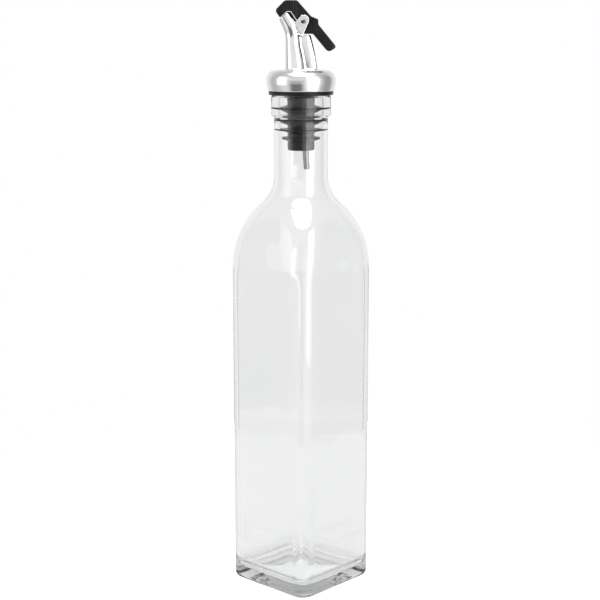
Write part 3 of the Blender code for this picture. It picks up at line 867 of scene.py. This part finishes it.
def build_air_tube():
    """One smooth path swept at the outer radius and, back from its end, at the radius less the
    wall, closed to a ring-shaped skin."""
    path = smooth_path(AIR_TUBE_PATH + [AIR_TUBE_X, 0.0], 8)
    outer = swept_rings(path, np.full(len(path), AIR_TUBE_RADIUS), 40)
    inner = swept_rings(path, np.full(len(path), AIR_TUBE_RADIUS - AIR_TUBE_WALL), 40)
    return over_the_corner(skin("air_tube_drawn", np.vstack([outer, inner[::-1]]), closed=True))


hand_in(build_air_tube(), DRAWN_STEEL, "bottle", "tube_steel", "air_tube")

# %% [markdown]
# ## The collar
# The collar is a domed ring over the rubber flange. It is widest just above its foot, and its top
# rolls over in a large round edge that carries the broad highlights. As a closed profile turned
# about the axis it is a ring with a hole, through which the spout's foot comes.

# %% Collar
COLLAR_BOTTOM, COLLAR_TOP = FLANGE_TOP, 275.3 * MM
# Corners of the profile, from the hole out, up and back: radius, height, rounding
COLLAR_PROFILE = np.array([(9.55, 264.6, 0.0), (17.1, 264.6, 0.6), (17.9, 268.2, 4.0),
                           (18.05, 275.3, 4.9), (9.55, 275.3, 0.25)]) * MM
collar = turned("collar_ring", rounded(COLLAR_PROFILE, steps=14), segments=192, closed=True)
hand_in(collar, SATIN_STEEL, "bottle", "satin_steel", "collar")

# %% [markdown]
# ## The spout
# The spout is one cast piece. All sizes near the hinge are from the pivot, because everything there
# has to fit round the lever. Two sloping lines matter most: the mouth's edge, and the rear of the
# tip behind it. Spout and lever both follow them, with a gap between, so the lines are written once
# as small functions.

# %% Spout: places and lines near the pivot
PIVOT = np.array([1.0, 299.7]) * MM
PIN_RADIUS, HUB_RADIUS, RUNNING_GAP = 1.0 * MM, 2.13 * MM, 0.3 * MM
EAR_INSIDE, EAR_OUTSIDE = 3.2 * MM, 4.4 * MM
REAR_LEAN, MOUTH_SLOPE = math.radians(33.9), math.radians(44.0)
MOUTH_DISTANCE, TIP_LEVEL = 9.3 * MM, 5.0 * MM
PLINTH_RADIUS, PLINTH_TOP, PLINTH_ROUNDING = 9.4 * MM, COLLAR_TOP + RUNNING_GAP, 0.4 * MM
FAR = 20 * MM


def along_mouth(distance, x):
    """Height at x, from the pivot, of the mouth's sloping line at a distance from the pivot:
    (distance + x sin slope) / cos slope."""
    return (distance + x * math.sin(MOUTH_SLOPE)) / math.cos(MOUTH_SLOPE)


def mouth_x(distance, z):
    """x at a height z, from the pivot, of that same line: (z cos slope - distance) / sin slope."""
    return (z * math.cos(MOUTH_SLOPE) - distance) / math.sin(MOUTH_SLOPE)


def behind_tip(distance, z):
    """x at a height z, from the pivot, of the line along the tip's rear at a distance:
    -(distance + z sin lean) / cos lean."""
    return -(distance + z * math.sin(REAR_LEAN)) / math.cos(REAR_LEAN)


print("mouth's edge, mm along X from the pivot:",
      round(mouth_x(MOUTH_DISTANCE, TIP_LEVEL) / MM, 2))

# %% [markdown]
# ### Barrel, rib, plinth and ears
# The spout stands on a round plinth. In front is the pouring barrel, which leans out at the top and
# is cut off at a slope. Behind it is a flatter rib that carries the air passage, and between them
# two ears hold the hinge pin. Barrel and rib are swept along smooth curves, the plinth is turned,
# and the ears are flat: the simplest stock that gives each form.

# %% Spout: barrel, rib, plinth and ears
# Centre and radius up barrel and rib: x, z, radius
BARREL = np.array([(-2.5, 272.0, 5.8), (-3.1, 280.0, 5.1), (-3.85, 287.0, 4.3),
                   (-4.2, 292.3, 3.98), (-5.45, 297.5, 4.15), (-8.73, 303.2, 3.62),
                   (-11.1, 307.6, 3.4)]) * MM
RIB = np.array([(4.9, 272.0, 3.9), (4.0, 279.0, 4.1), (2.75, 286.0, 3.9), (1.45, 292.7, 3.5)]) * MM
RIB_FLATTEN = 0.42
# Corners of an ear, from the pivot: x, z, rounding
EAR_CORNERS = np.array([(3.3, 1.2, 2.3), (1.9, 3.3, 2.2), (-0.9, 3.4, 2.2), (-4.3, -0.2, 1.0),
                        (-3.9, -3.0, 2.0), (-1.0, -7.2, 1.2), (0.4, -5.6, 1.5)]) * MM
# The room for the lever's hub, from the pivot: its first corners, the heights at which it follows
# the tip's rear, and its last corners
ROOM_START = np.array([(-2.6, -6.75), (-2.6, -6.2)]) * MM
ROOM_LEVELS = np.array([-1.5, 4.0]) * MM
ROOM_END = np.array([(-5.4, 7.0), (7.0, 7.0), (7.0, -6.75)]) * MM
MELT, MOUTH_CUT_BACK, PASSAGE_START = 0.07 * MM, -2 * MM, COLLAR_BOTTOM - 2 * MM


def pin_bar(name, radius, half_length, rounding=0.0):
    """Round bar along Y through the pivot, whose ends may be rounded: rings of radius r at y, each
    the circle (r cos a, r sin a)."""
    angle = np.linspace(0, 2 * math.pi, 48, endpoint=False)
    steps = 5 if rounding else 0
    ends = arc((radius - rounding, half_length - rounding), rounding, 90.0, 0.0, steps)
    size, y = np.vstack([ends * [1, -1], ends[::-1]])[:, :, None].transpose(1, 0, 2)
    return skin(name, np.stack([PIVOT[0] + size * np.cos(angle), y + 0 * angle,
                                PIVOT[1] + size * np.sin(angle)], -1))


def swept(name, stations, steps, sides, flatten=1.0):
    """Round or oval bar through (x, z, radius) stations, smoothed between them."""
    path = smooth_path(stations, steps)
    return skin(name, swept_rings(path[:, :2], path[:, 2], sides, flatten))


def spout_forms():
    """Barrel first, then what is joined to it: rib, plinth and the two ears."""
    barrel = swept("spout_body", BARREL, 8, 72)
    rib = swept("rib", RIB, 8, 56, RIB_FLATTEN)
    edge = [(0.0, COLLAR_BOTTOM, 0.0), (PLINTH_RADIUS, COLLAR_BOTTOM, 0.0),
            (PLINTH_RADIUS, PLINTH_TOP, PLINTH_ROUNDING), (0.0, PLINTH_TOP, 0.0)]
    plinth = turned("plinth", rounded(edge), segments=96)
    outline = rounded(EAR_CORNERS, steps=8) + PIVOT
    middle, half = (EAR_INSIDE + EAR_OUTSIDE) / 2, (EAR_OUTSIDE - EAR_INSIDE) / 2
    ears = [flat(f"ear_{side:+d}", outline, half, side * middle) for side in (-1, 1)]
    return barrel, [rib, plinth] + ears


def spout_cuts():
    """Cut away before the softening: room for the lever's hub, with a small extra because the
    surfaces then melt a little, the sloping mouth, and the bore."""
    rear = behind_tip(HUB_RADIUS + RUNNING_GAP + MELT, ROOM_LEVELS)
    hub_room = np.vstack([ROOM_START, np.stack([rear, ROOM_LEVELS], -1), ROOM_END])
    mouth = [(-FAR, along_mouth(MOUTH_DISTANCE, -FAR)),
             (mouth_x(MOUTH_DISTANCE, TIP_LEVEL), TIP_LEVEL), (MOUTH_CUT_BACK, TIP_LEVEL),
             (MOUTH_CUT_BACK, FAR), (-FAR, FAR)]
    passage = np.vstack([[(POUR_BORE_X, PASSAGE_START, 0.0)], BARREL[1:]])
    passage[:, 2] = POUR_BORE_RADIUS
    return [flat("hub_room", hub_room + PIVOT, EAR_INSIDE),
            flat("mouth_cut", np.array(mouth) + PIVOT, FAR), swept("passage", passage, 8, 40)]


print("spout:", len(BARREL), "stations up the barrel and", len(RIB), "up the rib")

# %% [markdown]
# ### The spout in one piece
# A casting has a small fillet wherever two forms meet. The forms are joined, cut and softened
# together for that reason. The pin's hole comes last, after the softening, because a drilled hole
# has a crisp edge.

# %% Spout: joined, cut and softened
SPOUT_VOXEL, SPOUT_PASSES, DRILLED_EDGE = 0.2 * MM, 8, math.radians(50.0)


def build_spout():
    """The forms joined and cut, then softened, and drilled for the pin."""
    barrel, joined = spout_forms()
    spout = softened(shaped(barrel, joined=joined, cut=spout_cuts()), SPOUT_VOXEL, SPOUT_PASSES)
    shaped(spout, cut=[pin_bar("ear_hole", PIN_RADIUS + RUNNING_GAP, FAR)])
    spout.data.set_sharp_from_angle(angle=DRILLED_EDGE)
    return over_the_corner(spout)


hand_in(build_spout(), BRIGHT_CHROME, "bottle", "bright_chrome", "spout")

# %% [markdown]
# ## The hinge pin
# The lever turns on a short steel pin through both ears. Its ends are slightly domed and sit just
# under the ears' faces, where they show as small dark dots: its finish has darker greys that are
# painted shade for the shadow there. A turned bar says it all.

# %% Hinge pin
PIN_SINK, PIN_ROUNDING = 0.1 * MM, 0.3 * MM
pin = over_the_corner(pin_bar("pivot_pin", PIN_RADIUS, EAR_OUTSIDE - PIN_SINK, PIN_ROUNDING))
# The pin gets the darker steel, whose colour is painted shade.
hand_in(pin, SHADED_PIN_STEEL, "bottle", "tube_steel", "hinge_pin")

# %% [markdown]
# ## The lever
# One moulded piece does three jobs: a cap that covers the mouth, a hub that turns between the ears,
# and a tail for the thumb. From the side it is one outline; from above it is a second one, wide at
# the cap and the tail and narrow between the ears. What both outlines share is the lever. Under the
# tail a channel is cut so that it can come down over the rib when the cap is lifted.

# %% Lever: two outlines and a channel
LIP_X, LIP_EDGE, HUB_START = -11.8 * MM, 0.4 * MM, 240.0
# All from the pivot. Corners from the lip over the top, round the tail and under it to the hub:
# x, z, rounding
LEVER_TOP = np.array([(-14.45, 5.7, 1.8), (-9.35, 10.8, 2.4), (-3.1, 10.8, 1.6), (4.1, 2.7, 1.5),
                      (7.75, 1.25, 0.7), (7.85, -1.45, 1.0), (17.3, -12.84, 1.2),
                      (13.0, -15.4, 1.8), (5.2, -6.2, 0.6), (0.4, -6.2, 0.4), (0.4, -3.6, 0.5),
                      (0.0, -2.13, 0.0)]) * MM
# Half of the outline from above, cap first, then waist and tail: x, y, rounding
LEVER_PLAN = np.array([(-15.0, -4.4, 3.6), (-4.5, -4.4, 0.7), (-4.0, -2.9, 0.5),
                       (4.3, -2.9, 0.5), (5.3, -4.0, 0.7), (18.0, -4.0, 3.2)]) * MM
CHANNEL = np.array([(2.2, -9.0), (2.2, -5.7), (5.6, -2.6), (14.15, -12.84), (11.15, -16.28)]) * MM
CHANNEL_HALF, SIDE_MARGIN, PLAN_HALF = 2.0 * MM, 1.0 * MM, 0.5


def lever_side():
    """Seen from the side, from the pivot: along the top from the cap's lip, round the tail and back
    under it to the hub, and up the tip's rear to the cap's underside."""
    under_cap, cap_level = MOUTH_DISTANCE + RUNNING_GAP, TIP_LEVEL + RUNNING_GAP
    hub = arc((0.0, 0.0), HUB_RADIUS, HUB_START, 180.0 + math.degrees(REAR_LEAN), 6)
    under = [(*point, 0.0) for point in hub]
    under += [(behind_tip(HUB_RADIUS, cap_level), cap_level, 0.0),
              (mouth_x(under_cap, cap_level), cap_level, 0.0)]
    lip = [(LIP_X, along_mouth(under_cap, LIP_X), LIP_EDGE)]
    return rounded(np.vstack([lip, LEVER_TOP, under]), steps=10)


def lever_plan():
    """Seen from above: a round-ended cap, a narrow waist between the ears, and a tail."""
    return rounded(np.vstack([LEVER_PLAN, LEVER_PLAN[::-1] * [1, -1, 1]]), steps=10)


print("lever outlines:", len(lever_side()), "and", len(lever_plan()), "points")

# %% [markdown]
# ### The lever in one piece
# What the two outlines share is one Boolean step, and the channel and the pin's hole are two cuts.
# The softening then rounds every edge, as a thumb and a mould would have it. It needs a finer mesh
# than the spout, because the step behind the hub is small.

# %% Lever: made and softened
LEVER_VOXEL, LEVER_PASSES = 0.16 * MM, 30


def build_lever():
    """What both outlines share, less the channel and the pin's hole, softened."""
    lever = flat("thumb_lever", lever_side() + PIVOT, SIDE_MARGIN - LEVER_PLAN[:, 1].min())
    plan = flat("plan", lever_plan() + [PIVOT[0], 0.0], PLAN_HALF, upright=False)
    channel = flat("channel", CHANNEL + PIVOT, CHANNEL_HALF)
    hole = pin_bar("lever_hole", PIN_RADIUS + RUNNING_GAP, FAR)
    shaped(lever, kept=[plan], cut=[channel, hole])
    return over_the_corner(softened(lever, LEVER_VOXEL, LEVER_PASSES))


hand_in(build_lever(), BLACK_PLASTIC, "lever", "black_plastic", "lever")

# %% [markdown]
# ## The floor
# The photograph is cut out on white, so the floor is only a pale disc. What the camera sees of it
# directly is a little brighter than what it sees through the glass, which keeps the glass visible
# on it. One material can do both, because it can ask what kind of ray has reached it.

# %% Floor
FLOOR_RADIUS = 0.31
FLOOR_GLOW, FLOOR_LIFT, FLOOR_TINTS = 0.28, 0.85, (grey(0.69), grey(0.72))


def build_floor():
    """Disc of (radius cos a, radius sin a, 0), which glows more to the camera than to others."""
    angle = np.linspace(0, 2 * math.pi, 96, endpoint=False)
    edge = np.stack([FLOOR_RADIUS * np.cos(angle), FLOOR_RADIUS * np.sin(angle), 0 * angle], -1)
    mesh = bpy.data.meshes.new("floor")
    mesh.from_pydata(edge.tolist(), [], [list(range(len(angle)))])
    floor = new_object("floor", mesh)
    material, tree, shader = new_finish("pale_floor", Roughness=0.9, Specular_IOR_Level=0.2,
                                        Emission_Strength=1.0)
    clouds = place_group(tree, SMUDGES, Scale=3.0, Sharpness=1.0)
    tree.links.new(tint(tree, clouds.outputs["Mask"], *FLOOR_TINTS), shader.inputs["Base Color"])
    path = add_node(tree, "ShaderNodeLightPath")
    glow = tint(tree, path.outputs["Is Camera Ray"], grey(FLOOR_GLOW), grey(FLOOR_LIFT))
    tree.links.new(glow, shader.inputs["Emission Color"])
    mesh.materials.append(material)
    return floor


floor = build_floor()
print("floor:", FLOOR_RADIUS * 2, "m across")

# %% [markdown]
# ## The room
# Clear glass shows only what it bends and mirrors, so its look is made by what stands round it. The
# backdrop is nearly white, the sides are grey, and in front, a little to the left of the camera, is
# a dark gap between the lamps. It makes the band in the collar and keeps the rubber black. Only
# mirrored rays see it, so that the glass stays clear from every side. A real room would need walls
# and cloths: here one world shader gives each direction its grey.

# %% Surroundings
CAMERA_AZIMUTH, GAP_SIDE = 43.0, -16.0
BACKDROP_GREY, FRONT_GREY, TOP_GREY, GAP_GREY, DIFFUSE_GREY = 0.95, 0.86, 0.60, 0.15, 0.92
LEFT_GREY, RIGHT_GREY = 0.56, 0.36
# Where each grey fades in, as the cosine of the angle to the gap's middle, to the right and to the
# camera, and for the ceiling and the floor as the sine of the height
GAP_EDGES = math.cos(math.radians(28.0)), math.cos(math.radians(18.0))
SIDE_EDGES, BEHIND_EDGES, FRONT_EDGES = (-0.5, 0.5), (-0.35, -0.75), (-0.1, 0.6)
TOP_EDGES, LOW_EDGES = (0.25, 0.85), (-0.055, -0.035)
GLASS_BOUNCES = 24


def fade(tree, value, edges, low=0.0, high=1.0):
    """Value that goes from low to high while another goes from edge to edge, by t squared x
    (3 - 2 t) of the share t of the way."""
    node = add_node(tree, "ShaderNodeMapRange", {"interpolation_type": "SMOOTHSTEP"}, Value=value,
                    From_Min=edges[0], From_Max=edges[1], To_Min=low, To_Max=high)
    return node.outputs["Result"]


def blend(tree, share, first, second):
    """first where share is 0 and second where it is 1."""
    node = add_node(tree, "ShaderNodeMix", {"data_type": "FLOAT"}, _0=share, _2=first, _3=second)
    return node.outputs[0]


def room_brightness(tree):
    """Backdrop, sides, front, ceiling and gap as greys by direction: the cosine between its level
    part and a fixed direction tells how far round it is."""
    place = add_node(tree, "ShaderNodeTexCoord").outputs["Generated"]
    split = add_node(tree, "ShaderNodeSeparateXYZ", Vector=place)
    level = add_node(tree, "ShaderNodeCombineXYZ", X=split.outputs["X"], Y=split.outputs["Y"])
    level = vector_maths(tree, "NORMALIZE", "Vector", _0=level.outputs[0])
    facing, right, near = (
        vector_maths(tree, "DOT_PRODUCT", "Value", _0=level,
                     _1=(math.sin(way), -math.cos(way), 0.0))
        for way in np.radians(CAMERA_AZIMUTH + np.array([GAP_SIDE, 90.0, 0.0])))
    side = fade(tree, right, SIDE_EDGES, LEFT_GREY, RIGHT_GREY)
    front = blend(tree, fade(tree, near, FRONT_EDGES), side, FRONT_GREY)
    room = blend(tree, fade(tree, near, BEHIND_EDGES), front, BACKDROP_GREY)
    room = blend(tree, fade(tree, split.outputs["Z"], TOP_EDGES), room, TOP_GREY)
    low = fade(tree, split.outputs["Z"], LOW_EDGES, 1.0, 0.0)
    gap = maths(tree, "MULTIPLY", fade(tree, facing, GAP_EDGES), low)
    path = add_node(tree, "ShaderNodeLightPath")
    mirrored = maths(tree, "MINIMUM", path.outputs["Glossy Depth"], gap)
    room = blend(tree, mirrored, room, GAP_GREY)
    room = blend(tree, path.outputs["Is Diffuse Ray"], room, DIFFUSE_GREY)
    return blend(tree, path.outputs["Is Camera Ray"], room, 1.0)


def build_surroundings():
    """World whose strength in each direction is the room's grey there."""
    world = bpy.data.worlds.new("pale_room")
    world.use_nodes = True
    background = world.node_tree.nodes["Background"]
    background.inputs["Color"].default_value = grey(1.0)
    world.node_tree.links.new(room_brightness(world.node_tree), background.inputs["Strength"])
    scene = bpy.context.scene
    scene.world, scene.view_settings.view_transform = world, "Standard"
    for kind in ("max", "glossy", "transmission"):
        setattr(scene.cycles, f"{kind}_bounces", GLASS_BOUNCES)


build_surroundings()
print("surroundings: backdrop", BACKDROP_GREY, "sides", LEFT_GREY, RIGHT_GREY, "gap", GAP_GREY)

# %% [markdown]
# ## Four soft boxes
# Two tall boxes stand left and right: they make the long streaks on the glass and the metal. Two
# more hang above, a rectangle and an ellipse, and together they draw the drop-shaped highlight on
# the shoulder. Each is an area light that the camera can't see, because only its mirror image
# counts.

# %% Soft boxes
BOTTLE_MIDDLE = Vector((0.0, 0.0, 0.16))


def area_light(name, shape, size, brightness, place, turn):
    """Area light whose power is its brightness times pi times its width and height."""
    light = bpy.data.lights.new(name, "AREA")
    light.shape, light.size, light.size_y = shape, *size
    light.energy = brightness * math.pi * size[0] * size[1]
    box = new_object(name, light)
    box.location, box.rotation_euler = place, turn
    box.visible_camera = box.visible_diffuse = False
    print(name, [round(side, 3) for side in size], "m, brightness", brightness)


def side_box(name, side, distance, low, high, width, brightness):
    """Upright light at (distance sin a, -distance cos a, middle height), with a the angle to the
    side of the camera."""
    around = math.radians(CAMERA_AZIMUTH + side)
    place = (distance * math.sin(around), -distance * math.cos(around), (low + high) / 2)
    area_light(name, "RECTANGLE", (width, high - low), brightness, place,
               (math.radians(90.0), 0.0, around))


def top_box(name, shape, elevation, size, brightness, side=5.0, distance=1.2):
    """Light above, at a distance from the bottle's middle along (sin a cos e, -cos a cos e, sin e)
    with e the elevation, and facing it."""
    around, up = math.radians(CAMERA_AZIMUTH + side), math.radians(elevation)
    back = Vector((math.sin(around) * math.cos(up), -math.cos(around) * math.cos(up), math.sin(up)))
    area_light(name, shape, size, brightness, BOTTLE_MIDDLE + back * distance,
               (-back).to_track_quat("-Z", "Y").to_euler())


side_box("right_box", side=42.0, distance=0.5, low=0.01, high=0.75, width=0.30, brightness=2.4)
side_box("left_box", side=-68.0, distance=1.0, low=0.01, high=1.0, width=0.6, brightness=1.0)
top_box("top_box", "RECTANGLE", elevation=80.5, size=(0.92, 0.445), brightness=6.0)
top_box("round_box", "ELLIPSE", elevation=70.5, size=(0.92, 0.53), brightness=5.0)

# %% [markdown]
# ## The camera
# The photograph was taken from a little above with a long lens, looking down by eleven degrees and
# at the bottle's corner. Distance and height follow from how much the picture of the bottle tapers
# and from how far the lines of its base open.

# %% Camera
CAMERA_DISTANCE, CAMERA_HEIGHT, PITCH = 0.734, 0.2966, 10.97
LENS_PIXELS, FRAME_PIXELS, AXIS_PIXEL, SENSOR = 1404.0, 600.0, 301.0, 36.0


def build_camera():
    """Camera at (distance sin azimuth, -distance cos azimuth, height), whose focal length is its
    length in pixels x sensor width / frame width in pixels."""
    camera_data = bpy.data.cameras.new("camera")
    camera_data.sensor_width = SENSOR
    camera_data.lens = LENS_PIXELS * SENSOR / FRAME_PIXELS
    camera = new_object("camera", camera_data)
    azimuth = math.radians(CAMERA_AZIMUTH)
    camera.location = (CAMERA_DISTANCE * math.sin(azimuth), -CAMERA_DISTANCE * math.cos(azimuth),
                       CAMERA_HEIGHT)
    aside = math.atan((AXIS_PIXEL - FRAME_PIXELS / 2) / LENS_PIXELS)
    camera.rotation_euler = (math.radians(90.0 - PITCH), 0.0, azimuth + aside)
    bpy.context.scene.camera = camera
    print("camera lens:", round(camera_data.lens, 1), "mm")


build_camera()
